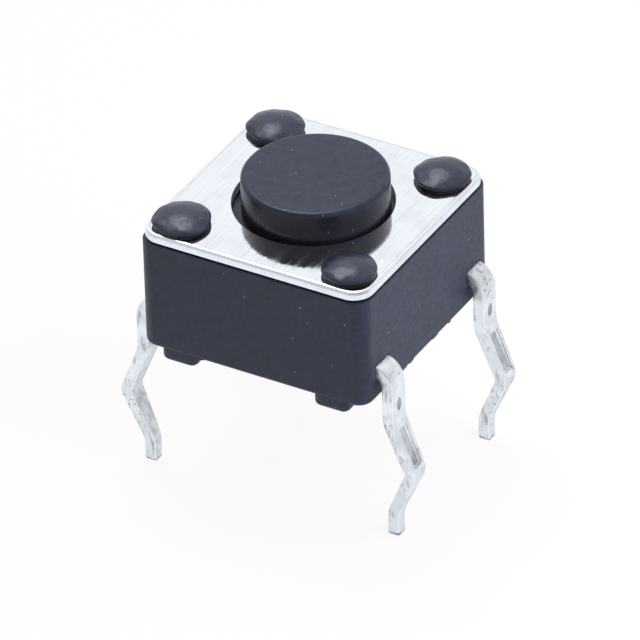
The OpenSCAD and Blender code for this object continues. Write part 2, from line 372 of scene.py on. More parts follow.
class Graph:
    """A node tree in the making, with short calls for what the finishes share."""

    def __init__(self, tree: bpy.types.NodeTree) -> None:
        """Empties the tree."""
        self.tree = tree
        tree.nodes.clear()

    def add(self, kind: str, **settings: object) -> bpy.types.Node:
        """Adds a node.

        Args:
            kind: the node's type, without "ShaderNode".
            **settings: its properties.

        Returns:
            The node.
        """
        node = self.tree.nodes.new("ShaderNode" + kind)
        for key, value in settings.items():
            setattr(node, key, value)
        return node

    def link(self, source: Socket, target: Socket) -> None:
        """Joins two sockets."""
        self.tree.links.new(source, target)

    def fill(self, socket: Socket, value: object) -> None:
        """Links a socket, or sets it.

        Args:
            socket: the socket.
            value: another socket, a colour as a tuple, or a number or vector.
        """
        if isinstance(value, Socket):
            self.link(value, socket)
        elif isinstance(value, tuple):
            socket.default_value = (*value, 1.0)
        else:
            socket.default_value = value

    def node(
        self, kind: str, out: str | int, inputs: dict[str | int, object], **settings: object
    ) -> Socket:
        """Adds a node and fills its inputs.

        Args:
            kind: the node's type, without "ShaderNode".
            out: the name or number of the output that is wanted.
            inputs: what fills each input, by its name or number.
            **settings: its properties.

        Returns:
            That output.
        """
        node = self.add(kind, **settings)
        for key, value in inputs.items():
            self.fill(node.inputs[key], value)
        return node.outputs[out]

    def parts(self, vector: Socket) -> Sockets:
        """Splits a vector.

        Args:
            vector: the vector.

        Returns:
            Its parts, by "X", "Y" and "Z".
        """
        node = self.add("SeparateXYZ")
        self.link(vector, node.inputs["Vector"])
        return node.outputs

    def normal(self) -> Socket:
        """Returns the direction that the surface faces in."""
        return self.node("NewGeometry", "Normal", {})

    def place(self, stretch: Point = EVEN) -> Socket:
        """Returns the place on the object in millimetres, with factors on x, y and z."""
        inputs = {"Scale": [s / MM for s in stretch], "Vector": self.node("TexCoord", "Object", {})}
        return self.node("Mapping", "Vector", inputs)

    def noise(self, pattern: Pattern) -> Socket:
        """Returns the whole noise of a pattern, from 0 to 1."""
        inputs = {"Scale": pattern.scale, "Detail": pattern.detail}
        return self.node("TexNoise", "Fac", {**inputs, "Vector": self.place(pattern.stretch)})

    def cloud(self, pattern: Pattern, target: Pair = RISE) -> Socket:
        """Returns the part of a pattern that shows, mapped to a range."""
        return self.range(self.noise(pattern), pattern.part, target)

    def specks(self, scale: float, size: float) -> Socket:
        """Returns round spots, 1 inside and 0 outside, whose size is a share of their cells."""
        away = self.node("TexVoronoi", "Distance", {"Scale": scale, "Vector": self.place()})
        return self.range(away, (size, size / 2))

    def range(self, value: Socket, source: Pair, target: Pair = RISE) -> Socket:
        """Returns a value mapped from one range to another, with both ends held."""
        ends = zip(("From Min", "From Max", "To Min", "To Max"), (*source, *target))
        return self.node("MapRange", "Result", {"Value": value, **dict(ends)})

    def maths(self, kind: str, first: Socket, second: Socket | float = 0.0) -> Socket:
        """Returns what a Math node's operation makes of one or two values."""
        return self.node("Math", "Value", {0: first, 1: second}, operation=kind)

    def blend(self, share: Socket, first: Socket | Colour, second: Socket | Colour) -> Socket:
        """Returns two colours mixed, with a share of the second."""
        inputs = {0: share, MIX_FIRST: first, MIX_SECOND: second}
        return self.node("Mix", MIX_RESULT, inputs, data_type="RGBA")

    def mix(self, share: Socket, first: Socket, second: Socket) -> Socket:
        """Returns two shaders mixed, with a share of the second."""
        return self.node("MixShader", "Shader", {0: share, 1: first, 2: second})

    def backdrop(self, colour: Socket | Colour, strength: float = 1.0) -> Socket:
        """Returns one background for the surroundings."""
        return self.node("Background", "Background", {"Color": colour, "Strength": strength})

    def bump(self, height: Socket, depth_mm: float, before: Socket | None = None) -> Socket:
        """Raises a surface by a value.

        Args:
            height: the value, from 0 to 1.
            depth_mm: what 1 stands for, in millimetres.
            before: the normal to start from, if not the surface's own.

        Returns:
            The normal.
        """
        inputs = {"Strength": 1.0, "Distance": depth_mm * MM, "Height": height}
        if before is not None:
            inputs["Normal"] = before
        return self.node("Bump", "Normal", inputs)

    def surface(self, shader: Socket) -> None:
        """Shows a shader."""
        self.link(shader, self.add("OutputMaterial").inputs["Surface"])

    def coat(
        self, colour: Socket, rough: Socket, normal: Socket, metal: float = 1.0, shine: float = 0.5
    ) -> None:
        """Shows a principled surface.

        Args:
            colour: its colour.
            rough: its roughness.
            normal: its normal.
            metal: 1 for metal, 0 for resin.
            shine: its specular level.
        """
        inputs = {"Base Color": colour, "Roughness": rough, "Normal": normal}
        inputs.update({"Metallic": metal, "Specular IOR Level": shine})
        self.surface(self.node("BsdfPrincipled", "BSDF", inputs))


def shaded(colour: Colour, share: float) -> Colour:
    """Returns a share of a colour."""
    return tuple(channel * share for channel in colour)


@dataclass(frozen=True)
class Finish:
    """A named finish of one main colour. Lengths in the finishes are in millimetres."""

    name: str
    colour: Colour

    def material(self) -> Material:
        """Makes the finish's material.

        Returns:
            The material.
        """
        material = bpy.data.materials.new(self.name)
        material.use_nodes = True
        material.diffuse_color = (*self.colour, 1.0)
        self.draw(Graph(material.node_tree))
        return material

    def draw(self, g: Graph) -> None:
        """Draws the finish's own nodes."""
        raise NotImplementedError


def around(middle: float, spread: Pair) -> Pair:
    """Returns the range that a spread makes round a value."""
    return middle + spread[0], middle + spread[1]


@dataclass(frozen=True)
class Resin(Finish):
    """Matt moulded resin, with a fine grain, a few pale filler specks and, where a side colour is
    given, painted shade on its upright faces.
    """

    roughness: float
    shine: float
    roughness_spread: Pair = (-0.05, 0.08)
    handled: Pattern = Pattern(9.0)
    grain: Pattern = Pattern(26.0)
    grain_mm: float = 0.0015
    wave: Pattern = Pattern(1.6)
    wave_mm: float = 0.004
    mottling: Pattern = Pattern(5.0, 6.0)
    mottle: float = 0.3
    speck: Colour = (0.24, 0.25, 0.29)
    speck_scale: float = 2.1
    speck_size: float = 0.075
    speck_strength: float = 0.8
    speck_patches: Pattern = Pattern(1.3, 2.0, (0.47, 0.53))
    # Painted shade: upright faces, such as the sides of the button and the heads, take this darker
    # side colour.
    flank_shade: Colour | None = None
    flank_shade_up: Pair = (0.0, 0.5)

    def draw(self, g: Graph) -> None:
        """Draws the resin.

        Args:
            g: the graph.
        """
        dark, light = shaded(self.colour, 1 - self.mottle), shaded(self.colour, 1 + self.mottle)
        base = g.blend(g.cloud(self.mottling), dark, light)
        # Painted shade: faces that stand upright blend to the darker side colour.
        if self.flank_shade is not None:
            flat = g.range(g.parts(g.normal())["Z"], self.flank_shade_up, FALL)
            base = g.blend(flat, base, self.flank_shade)
        here_and_there = g.cloud(self.speck_patches, (0.0, self.speck_strength))
        spots = g.maths("MULTIPLY", g.specks(self.speck_scale, self.speck_size), here_and_there)
        rough = g.cloud(self.handled, around(self.roughness, self.roughness_spread))
        grain = g.bump(g.noise(self.grain), self.grain_mm)
        waves = g.bump(g.noise(self.wave), self.wave_mm, grain)
        g.coat(g.blend(spots, base, self.speck), rough, waves, 0.0, self.shine)


@dataclass(frozen=True)
class BrushedPlate(Finish):
    """Bright rolled sheet, with fine scratches along Y."""

    roughness: float = 0.07
    roughness_spread: Pair = (-0.03, 0.07)
    fine: Pattern = Pattern(part=(0.5, 0.72), stretch=(34.0, 0.5, 6.0))
    wide: Pattern = Pattern(detail=2.0, stretch=(7.0, 0.22, 2.0))
    dull: float = 0.86
    patching: Pattern = Pattern(1.4, 5.0, (0.46, 0.7))
    patches: float = 0.7
    tilt: float = 0.012
    tilt_part: Pair = (0.2, 0.8)
    wide_tilt: float = 0.003
    swells: Pattern = Pattern(0.8, 2.0)
    swell: float = 0.004
    half: float = 3.08
    corner: float = 0.5
    rim_width: float = 0.1
    # A painted reflection: a broken grey line where the rim's rounding begins.
    rim_reflection_line: Pair = (0.01, 0.03)
    rim_reflection_grey: float = 0.72
    rim_swerve: Pattern = Pattern(5.0, 4.0, (0.2, 0.8))
    rim_ragged: float = 0.02
    rim_breaks: Pattern = Pattern(3.0, 4.0, (0.35, 0.6))
    rim_left: float = 0.2
    rolled: Pair = (-0.03, 0.01)
    rolled_roughness: float = 0.3

    def draw(self, g: Graph) -> None:
        """Draws the sheet.

        Args:
            g: the graph.
        """
        fine, wide = g.noise(self.fine), g.noise(self.wide)
        dull = shaded(self.colour, self.dull)
        streaks = g.blend(g.range(fine, self.fine.part), self.colour, dull)
        worn = g.blend(g.cloud(self.patching, (0.0, self.patches)), streaks, dull)
        line, rolled = self.rim(g)
        # The sheet goes grey along the painted reflection line.
        base = g.blend(line, worn, shaded(self.colour, self.rim_reflection_grey))
        rough = g.range(wide, self.wide.part, around(self.roughness, self.roughness_spread))
        g.coat(base, g.maths("MAXIMUM", rough, rolled), self.scratched(g, fine, wide))

    def rim(self, g: Graph) -> tuple[Socket, Socket]:
        """Draws at the plate's outline a grey line, a painted reflection of dark surroundings where
        the rounding begins, and a rougher roll-over.

        Args:
            g: the graph.

        Returns:
            How grey the painted reflection line makes the sheet, from 0 to 1, and the least roughness.
        """
        place = g.parts(g.place())
        inner = self.half - self.corner
        squares = []
        for axis in ("X", "Y"):
            beyond = g.maths("SUBTRACT", g.maths("ABSOLUTE", place[axis]), inner)
            squares.append(g.maths("POWER", g.maths("MAXIMUM", beyond), 2.0))
        reach = g.maths("POWER", g.maths("ADD", *squares), 0.5)
        inward = g.maths("SUBTRACT", reach, self.corner - self.rim_width)
        swerve = g.cloud(self.rim_swerve, (-self.rim_ragged, self.rim_ragged))
        ragged = g.maths("ABSOLUTE", g.maths("ADD", inward, swerve))
        gaps = g.cloud(self.rim_breaks, (self.rim_left, 1.0))
        # Painted reflection: grey where the ragged distance is near the rounding's start, with gaps.
        broken_reflection_line = g.maths("MULTIPLY", g.range(ragged, self.rim_reflection_line, FALL), gaps)
        return broken_reflection_line, g.range(inward, self.rolled, (0.0, self.rolled_roughness))

    def scratched(self, g: Graph, fine: Socket, wide: Socket) -> Socket:
        """Tilts each scratch a little along its run, which frays the ends of reflections.

        Args:
            g: the graph.
            fine: the fine scratches.
            wide: the wide ones.

        Returns:
            The normal.
        """
        across = g.range(wide, RISE, (-self.wide_tilt, self.wide_tilt))
        along = g.range(fine, self.tilt_part, (-self.tilt, self.tilt))
        lean = g.node("CombineXYZ", "Vector", {"X": across, "Y": along})
        total = g.node("VectorMath", "Vector", {0: g.normal(), 1: lean}, operation="ADD")
        unit = g.node("VectorMath", "Vector", {0: total}, operation="NORMALIZE")
        return g.bump(g.noise(self.swells), self.swell, unit)


@dataclass(frozen=True)
class TinnedStrip(Finish):
    """Tin-plated strip, mottled on its faces, torn along its blanked edges, and with a painted
    highlight on its rounded edges.
    """

    stain: Colour
    # Painted highlight: the pale colour of the rounded corners between the faces.
    edge_highlight: Colour = (0.97, 0.97, 0.99)
    edge_highlight_in: Pair = (0.2, 0.35)
    edge_highlight_out: Pair = (0.75, 0.9)
    roughness: float = 0.34
    roughness_spread: Pair = (-0.08, 0.14)
    clouding: Pattern = Pattern(2.0, 5.0)
    cloud_part: Pair = (0.4, 0.66)
    cloud: float = 0.3
    pits: Pattern = Pattern(8.0)
    pit_part: Pair = (0.54, 0.68)
    pit_patches: Pattern = Pattern(1.1, 2.0, (0.46, 0.58))
    pit_few: float = 0.1
    pitted: float = 0.8
    pit_depth: float = 0.006
    tears: Pattern = Pattern(part=(0.56, 0.68), stretch=(9.0, 3.0, 2.2))
    tear: float = 0.6
    tear_depth: float = 0.005
    tear_dark: float = 0.6
    tear_edge: Pair = (0.6, 0.85)
    dents: Pattern = Pattern(2.6)
    dent_depth: float = 0.02
    # Darker mottling on the faces that turn inwards, and legs darker towards their ends.
    inner_mottling: Pattern = Pattern(4.0, 4.0, (0.4, 0.6))
    inner_darkening: Pair = (0.2, 0.55)
    inner_facing: Pair = (-1.0, -2.0)
    low_darkening: float = 0.2
    low_darkening_from: Pair = (-1.9, -2.5)
    bare_below: float = -100.0
    bare_fade: float = 0.04
    bare: Colour = (0.3, 0.28, 0.26)

    def draw(self, g: Graph) -> None:
        """Draws the plating.

        Args:
            g: the graph.
        """
        mottle, pits, tears = g.noise(self.clouding), g.noise(self.pits), g.noise(self.tears)
        facing, place = g.parts(g.normal()), g.parts(g.place())
        plated = g.blend(self.spots(g, mottle, pits, facing, place), self.colour, self.stain)
        face = self.blanked(g, plated, tears, facing)
        ragged = g.range(pits, self.pits.part, (-self.bare_fade, self.bare_fade))
        height = g.maths("ADD", place["Z"], ragged)
        cut_off = g.range(height, (self.bare_below, self.bare_below + self.bare_fade), FALL)
        rough = g.range(mottle, self.clouding.part, around(self.roughness, self.roughness_spread))
        dents = g.bump(g.noise(self.dents), self.dent_depth)
        pocked = g.bump(pits, self.pit_depth, dents)
        g.coat(g.blend(cut_off, face, self.bare), rough, g.bump(tears, self.tear_depth, pocked))

    def spots(self, g: Graph, mottle: Socket, pits: Socket, facing: Sockets, place: Sockets) -> Socket:
        """Stains the strip: clouds, pits, darker mottling on the faces that turn inwards, and legs
        darker towards their ends.

        Args:
            g: the graph.
            mottle: the noise of the clouds.
            pits: the noise of the pits.
            facing: the parts of the normal.
            place: the parts of the place.

        Returns:
            How stained the strip is, from 0 to 1.
        """
        somewhere = g.cloud(self.pit_patches, (self.pit_few, 1.0))
        pocked = g.maths("MULTIPLY", g.range(pits, self.pit_part, (0.0, self.pitted)), somewhere)
        clouded = g.range(mottle, self.cloud_part, (0.0, self.cloud))
        inwards = g.range(g.maths("MULTIPLY", place["X"], facing["X"]), self.inner_facing)
        inner_darkening = g.maths("MULTIPLY", g.cloud(self.inner_mottling, self.inner_darkening), inwards)
        low_darkening = g.range(place["Z"], self.low_darkening_from, (0.0, self.low_darkening))
        worn = g.maths("MAXIMUM", inner_darkening, low_darkening)
        return g.maths("MAXIMUM", g.maths("MAXIMUM", clouded, pocked), worn)

    def blanked(self, g: Graph, plated: Socket, tears: Socket, facing: Sockets) -> Socket:
        """Draws the torn edge faces that blanking leaves, and a painted highlight on the rounded
        corners beside them.

        Args:
            g: the graph.
            plated: the colour of the faces.
            tears: the noise of the tears.
            facing: the parts of the normal.

        Returns:
            The colour.
        """
        sideways = g.maths("ABSOLUTE", facing["Y"])
        on_edges = g.range(sideways, self.tear_edge)
        torn = g.maths("MULTIPLY", g.range(tears, self.tears.part, (0.0, self.tear)), on_edges)
        ragged = g.blend(torn, plated, shaded(self.stain, self.tear_dark))
        # Painted highlight: rounded corners between the faces and the edge faces take the pale colour.
        corner = g.range(sideways, self.edge_highlight_in), g.range(sideways, self.edge_highlight_out, FALL)
        return g.blend(g.maths("MULTIPLY", *corner), ragged, self.edge_highlight)


@dataclass(frozen=True)
class SpringSheet(Finish):
    """Rolled stainless spring sheet, with a fine grain along X."""

    dull: float = 0.85
    dull_part: Pair = (0.4, 0.7)
    roughness: float = 0.28
    roughness_spread: Pair = (0.0, 0.1)
    grain: Pattern = Pattern(detail=4.0, stretch=(2.0, 30.0, 4.0))
    grain_mm: float = 0.002

    def draw(self, g: Graph) -> None:
        """Draws the sheet.

        Args:
            g: the graph.
        """
        grain = g.noise(self.grain)
        base = g.blend(g.range(grain, self.dull_part), self.colour, shaded(self.colour, self.dull))
        rough = g.range(grain, self.grain.part, around(self.roughness, self.roughness_spread))
        g.coat(base, rough, g.bump(grain, self.grain_mm))


@dataclass(frozen=True)
class StudioFloor(Finish):
    """White paper that shows as plain white, keeps a soft shadow and is clear from below."""

    own_light: float
    mirrored: Colour = (0.88, 0.93, 1.0)

    def draw(self, g: Graph) -> None:
        """Draws the paper.

        Args:
            g: the graph.
        """
        path = g.add("LightPath").outputs
        seen = g.maths("MAXIMUM", path["Is Camera Ray"], path["Is Glossy Ray"])
        seen = g.maths("MAXIMUM", seen, path["Is Transmission Ray"])
        paper = g.node("BsdfDiffuse", "BSDF", {"Color": g.blend(seen, self.colour, WHITE)})
        shown = g.blend(path["Is Camera Ray"], self.mirrored, WHITE)
        glow = g.node("Emission", "Emission", {"Color": shown})
        above = g.mix(g.maths("MULTIPLY", seen, self.own_light), paper, glow)
        from_below = g.node("NewGeometry", "Backfacing", {})
        g.surface(g.mix(from_below, above, g.node("BsdfTransparent", "BSDF", {})))


# ---------------- sub-assemblies


@dataclass(frozen=True)
class StakedHead:
    """How one staked head differs from the nominal one, at its own corner."""

    side: Corner
    seed: float
    size: float = 1.0
    sag: float = 0.01 * MM
    shift: Pair = (0.0, 0.0)
    tilt: Pair = (0.0, 0.0)


@dataclass(frozen=True)
class Crumb:
    """A bit of flash on the housing's lower rim: its place on the rim and its length."""

    normal: Corner
    along: float
    length: float


def sway(place: Vector, scale: float, x: float, y: float, z: float = 0.0) -> float:
    """Returns a smooth random value from about -1 to 1, drawn at a scaled and shifted place."""
    return noise.noise(place * scale + Vector((x, y, z)))


def ramp(value: float) -> float:
    """Returns a value, held between 0 and 1."""
    return min(max(value, 0.0), 1.0)


@dataclass
class Housing:
    """The moulded base: a hollow block on four feet, with four staked posts through the plate."""

    resin: Resin
    staked: Resin
    corner: float = 0.4 * MM
    lower_edge: float = 0.12 * MM
    upper_edge: float = 0.03 * MM
    shadow_gap: float = 0.05 * MM
    neck_in: float = 0.075 * MM
    neck_height: float = 0.2 * MM
    neck_edge: float = 0.01 * MM
    foot: float = 0.86 * MM
    foot_spread: float = 0.05 * MM
    foot_corner: float = 0.2 * MM
    foot_edge: float = 0.14 * MM
    foot_inset_x: float = 0.58 * MM
    foot_inset_y: float = 0.06 * MM
    underside: float = 0.33 * MM
    floor: float = 1.43 * MM
    cavity: float = 4.54 * MM
    post: float = 0.94 * MM
    rooted: float = 0.4 * MM
    rim: float = 0.7 * MM
    rim_height: float = 0.13 * MM
    lip: float = 0.055 * MM
    lip_from: float = -60.0
    skirt: float = 0.65 * MM
    skirt_height: float = 0.06 * MM
    skirt_to: float = 30.0
    waist: float = 0.63 * MM
    waist_height: float = 0.065 * MM
    dome: float = 0.675 * MM
    dome_rise: float = 0.184 * MM
    round_faces: tuple[int, int, int] = (6, 8, 12)
    wobble: float = 0.05
    wobble_scale: float = 1.8
    wobble_seed: Pair = (7.3, 1.7)
    dip_scale: float = 2.6
    dip_seed: Pair = (3.1, 5.9)
    crumple: float = 0.06 * MM
    crumple_scale: float = 2.2
    crumple_seed: Pair = (2.3, 8.1)
    crumple_from: float = 0.6
    crumple_over: float = 0.3
    strip_play: float = 0.02 * MM
    strip_room: float = 0.05 * MM
    strip_reach: float = 2.2
    pin_play: float = 0.06 * MM
    crumb_depth: float = 0.03 * MM
    crumb_in: float = 0.06 * MM
    crumb_rough: float = 0.25
    crumb_scale: float = 1.5
    crumbs: tuple[Crumb, ...] = (
        Crumb((1, 0), -1.2 * MM, 0.55 * MM),
        Crumb((1, 0), -0.8 * MM, 0.3 * MM),
        Crumb((1, 0), 0.4 * MM, 0.35 * MM),
        Crumb((1, 0), 1.1 * MM, 0.16 * MM),
        Crumb((0, -1), -1.5 * MM, 0.3 * MM),
        Crumb((-1, 0), 0.7 * MM, 0.4 * MM),
        Crumb((-1, 0), -0.6 * MM, 0.2 * MM),
        Crumb((0, 1), 1.2 * MM, 0.35 * MM),
    )
    heads: tuple[StakedHead, ...] = (
        StakedHead((-1, -1), 1.0, size=1.03, shift=(0.01 * MM, -0.03 * MM), tilt=(0.02, -0.02)),
        StakedHead((1, -1), 2.0, size=0.975, sag=0.035 * MM, tilt=(-0.02, 0.03)),
        StakedHead((-1, 1), 3.0, size=1.01, sag=0.0, shift=(-0.01 * MM, -0.07 * MM)),
        StakedHead((1, 1), 4.0, shift=(-0.01 * MM, -0.03 * MM), tilt=(0.0, -0.03)),
    )

    def build(self) -> Piece:
        """Returns:
            The piece.
        """
        low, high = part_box("base_housing")
        plate_low, plate_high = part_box("cover_plate")
        top = plate_low.z
        width, depth = high.x - low.x, high.y - low.y
        shoulder = top - self.shadow_gap
        body = slab(
            (width, depth, shoulder - self.underside),
            (0.0, 0.0, (shoulder + self.underside) / 2),
            self.corner,
            self.upper_edge,
            self.lower_edge,
        )
        neck = slab(
            (width - 2 * self.neck_in, depth - 2 * self.neck_in, self.neck_height),
            (0.0, 0.0, top - self.neck_height / 2),
            self.corner,
            self.neck_edge,
            self.neck_edge,
        )
        obj = to_object(body, "housing", [self.resin.material(), self.staked.material()])
        heads = [self.head(kind, plate_high.z) for kind in self.heads]
        cut(obj, [neck, *self.feet(), *heads, *self.flash()], Cut.ADD)
        hollow = drum(self.cavity, self.floor, top + PAST, AXIS, HOLLOW_FACES)
        cut(obj, [hollow, *self.strip_ways()], Cut.REMOVE)
        for face in obj.data.polygons:
            face.material_index = int(face.center.z > plate_high.z - HAIR)
        smooth(obj)
        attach(obj, "housing")
        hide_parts("base_housing")
        return obj

    @property
    def high(self) -> Vector:
        """Returns the housing's highest corner."""
        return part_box("base_housing")[1]

    def feet(self) -> list[Mesh]:
        """Makes the four feet.

        Returns:
            Their meshes.
        """
        x = self.high.x - self.foot_inset_x - self.foot / 2
        y = self.high.y - self.foot_inset_y - self.foot / 2
        tall = self.underside + PAST
        size = (self.foot + 2 * self.foot_spread, self.foot + self.foot_inset_y, tall)
        return [
            slab(size, (sx * x, sy * y, tall / 2), self.foot_corner, HAIR, self.foot_edge)
            for sx, sy in CORNERS
        ]

    def flash(self) -> list[Mesh]:
        """Makes the bits of flash on the lower rim.

        Returns:
            Their meshes.
        """
        tools = []
        for crumb in self.crumbs:
            bm = bmesh.new()
            bmesh.ops.create_icosphere(bm, subdivisions=2, radius=1.0)
            for vert in bm.verts:
                rough = sway(vert.co, self.crumb_scale, crumb.along / MM, 0.0)
                vert.co *= 1.0 + self.crumb_rough * rough
            x, y = crumb.normal
            half = crumb.length / 2
            size = [max(self.crumb_depth, side * half) for side in (abs(y), abs(x), 0.0)]
            place = (
                x * (self.high.x - self.crumb_in) + abs(y) * crumb.along,
                y * (self.high.y - self.crumb_in) + abs(x) * crumb.along,
                self.underside + self.crumb_depth / 3,
            )
            tools.append(fit(bm, size, place))
        return tools

    def head(self, kind: StakedHead, seat: float) -> Mesh:
        """Makes one post with the head that hot staking has left on it.

        Args:
            kind: how this head differs.
            seat: height of the plate's upper face.

        Returns:
            The mesh.
        """
        half, rim_z, top = self.skirt_height / 2, seat + self.rim_height, self.high.z
        sphere = (self.dome**2 + self.dome_rise**2) / (2 * self.dome_rise)
        edge = math.degrees(math.acos(self.dome / sphere))
        skirt_faces, lip_faces, dome_faces = self.round_faces
        profile = [
            (0.0, seat - self.rooted),
            (self.post / 2, seat - self.rooted),
            (self.post / 2, seat),
            *arc((self.skirt - half, seat + half), (half, half), -90.0, self.skirt_to, skirt_faces),
            (self.waist, seat + self.waist_height),
            *arc((self.rim - self.lip, rim_z), (self.lip, self.lip), self.lip_from, edge, lip_faces),
            *arc((0.0, top - sphere), (sphere, sphere), edge, 90.0, dome_faces)[1:-1],
            (0.0, top),
        ]
        bm = turned(profile, AXIS, HEAD_FACES)
        for vert in (v for v in bm.verts if v.co.z > seat + NEAR):
            flat = Vector((vert.co.x, vert.co.y, 0.0)) / self.rim
            rise = (vert.co.z - seat) / (top - seat)
            x, y = self.wobble_seed
            swell = self.wobble * sway(flat, self.wobble_scale, kind.seed * x, y, rise)
            vert.co.xy *= kind.size * (1.0 + swell)
            x, y = self.dip_seed
            dip = 0.5 + 0.5 * sway(flat, self.dip_scale, x, kind.seed * y)
            folded = self.crumple * ramp((flat.length - self.crumple_from) / self.crumple_over)
            x, y = self.crumple_seed
            fold = folded * sway(flat, self.crumple_scale, kind.seed * x, y)
            lean = kind.tilt[0] * vert.co.x + kind.tilt[1] * vert.co.y
            sunk = kind.sag + self.wobble * dip * (top - seat)
            vert.co.z -= rise * (lean + sunk + fold)
        reach = (self.high.x - POST_INSET, self.high.y - POST_INSET)
        place = [side * at + shift for side, at, shift in zip(kind.side, reach, kind.shift)]
        bmesh.ops.translate(bm, vec=(*place, 0.0), verts=bm.verts)
        return bm

    def strip_ways(self) -> list[Mesh]:
        """Makes what the leg strips and the mould's holding pins leave open.

        Returns:
            The tools.
        """
        tools = []
        for row in Row:
            low, top = row.bottom - self.strip_room, row.top + self.strip_play / 2
            size = (self.strip_reach * self.high.x, STRIP_WIDTH + self.strip_play, top - low)
            tools.append(block(size, (0.0, row.middle, (low + top) / 2)))
            for side in SIDES:
                pin = (side * self.high.x / 3, row.middle)
                tools.append(drum(STRIP_WIDTH + self.pin_play, 0.0, row.bottom, pin, PIN_FACES))
        return tools


@dataclass
class CoverPlate:
    """The stamped plate, with a rolled-over rim and holes for the button and the posts."""

    metal: BrushedPlate
    corner: float = 0.5 * MM
    upper_edge: float = 0.1 * MM
    lower_edge: float = 0.015 * MM
    hole: float = 3.9 * MM
    rollover: float = 0.05 * MM
    rollover_faces: int = 6
    post_hole: float = 1.0 * MM

    def build(self) -> Piece:
        """Returns:
            The piece.
        """
        low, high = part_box("cover_plate")
        sheet = slab(high - low, (low + high) / 2, self.corner, self.upper_edge, self.lower_edge)
        obj = to_object(sheet, "cover_plate_skin", [self.metal.material()])
        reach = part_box("base_housing")[1].x - POST_INSET
        posts = [(sx * reach, sy * reach) for sx, sy in CORNERS]
        below, above = low.z - PAST, high.z + PAST
        tools = [drum(self.post_hole, below, above, place, POST_FACES) for place in posts]
        tools.append(turned(self.punch(below, high.z, above), AXIS, BUTTON_FACES))
        cut(obj, tools, Cut.REMOVE)
        smooth(obj)
        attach(obj, "housing")
        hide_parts("cover_plate")
        return obj

    def punch(self, below: float, face: float, above: float) -> list[Pair]:
        """Gives the half section of what the punch takes out, wider where the rim rolls over.

        Args:
            below: height of its lower end.
            face: height of the plate's upper face.
            above: height of its upper end.

        Returns:
            Its points.
        """
        radius, roll = self.hole / 2, self.rollover
        middle = (radius + roll, face - roll)
        rolled = arc(middle, (roll, roll), 180.0, 90.0, self.rollover_faces)
        return [(0.0, below), (radius, below), *rolled, (radius + roll, above), (0.0, above)]


@dataclass
class Button:
    """The round button, with its flange and the boss that bears on the dome.

    The points of its crown are shares of its radius and of the crown's height.
    """

    resin: Resin
    diameter: float = 3.6 * MM
    flange_thickness: float = 0.6 * MM
    chamfer: float = 0.06 * MM
    play: float = 0.02 * MM
    boss: float = 1.5 * MM
    upper_edge: float = 0.11 * MM
    crown: float = 0.01 * MM
    crown_points: tuple[Pair, ...] = ((0.6, 0.4), (0.3, 0.1), (0.0, 0.0))
    lean: float = 0.08 * MM
    sharp: float = 50.0

    def build(self) -> Piece:
        """Returns:
            The piece.
        """
        low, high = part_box("plunger")
        flange_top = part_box("cover_plate")[0].z - self.play
        flange_low = flange_top - self.flange_thickness
        radius, flange, edge = self.diameter / 2, high.x, self.upper_edge
        shoulder = high.z - self.crown
        profile = [
            (0.0, low.z),
            (self.boss / 2, low.z),
            (self.boss / 2, flange_low),
            (flange - self.chamfer, flange_low),
            (flange, flange_low + self.chamfer),
            (flange, flange_top - self.chamfer),
            (flange - self.chamfer, flange_top),
            (radius, flange_top),
            *arc((radius - edge, shoulder - edge), (edge, edge), 0.0, 90.0, SOFT_FACES),
            *((radius * out, high.z - self.crown * down) for out, down in self.crown_points),
        ]
        bm = turned(profile, (self.lean, 0.0), BUTTON_FACES)
        obj = to_object(bm, "button", [self.resin.material()])
        smooth(obj, self.sharp)
        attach(obj, "button")
        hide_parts("plunger")
        return obj


class Row(Enum):
    """The two leg strips, by the CAD node that each stands for."""

    FRONT = "terminal_front"
    BACK = "terminal_back"

    @property
    def middle(self) -> float:
        """Returns y of the strip's middle."""
        low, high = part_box(self.value)
        return low.y + STRIP_WIDTH / 2 if self is Row.FRONT else high.y - STRIP_WIDTH / 2

    @property
    def top(self) -> float:
        """Returns the height of the strip's upper face inside the housing."""
        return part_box(self.value)[1].z - CONTACT_RISE

    @property
    def bottom(self) -> float:
        """Returns the height of its lower face there."""
        return self.top - STRIP_THICKNESS

    @property
    def thickness(self) -> float:
        """Returns the thickness of the strip."""
        return self.top - self.bottom


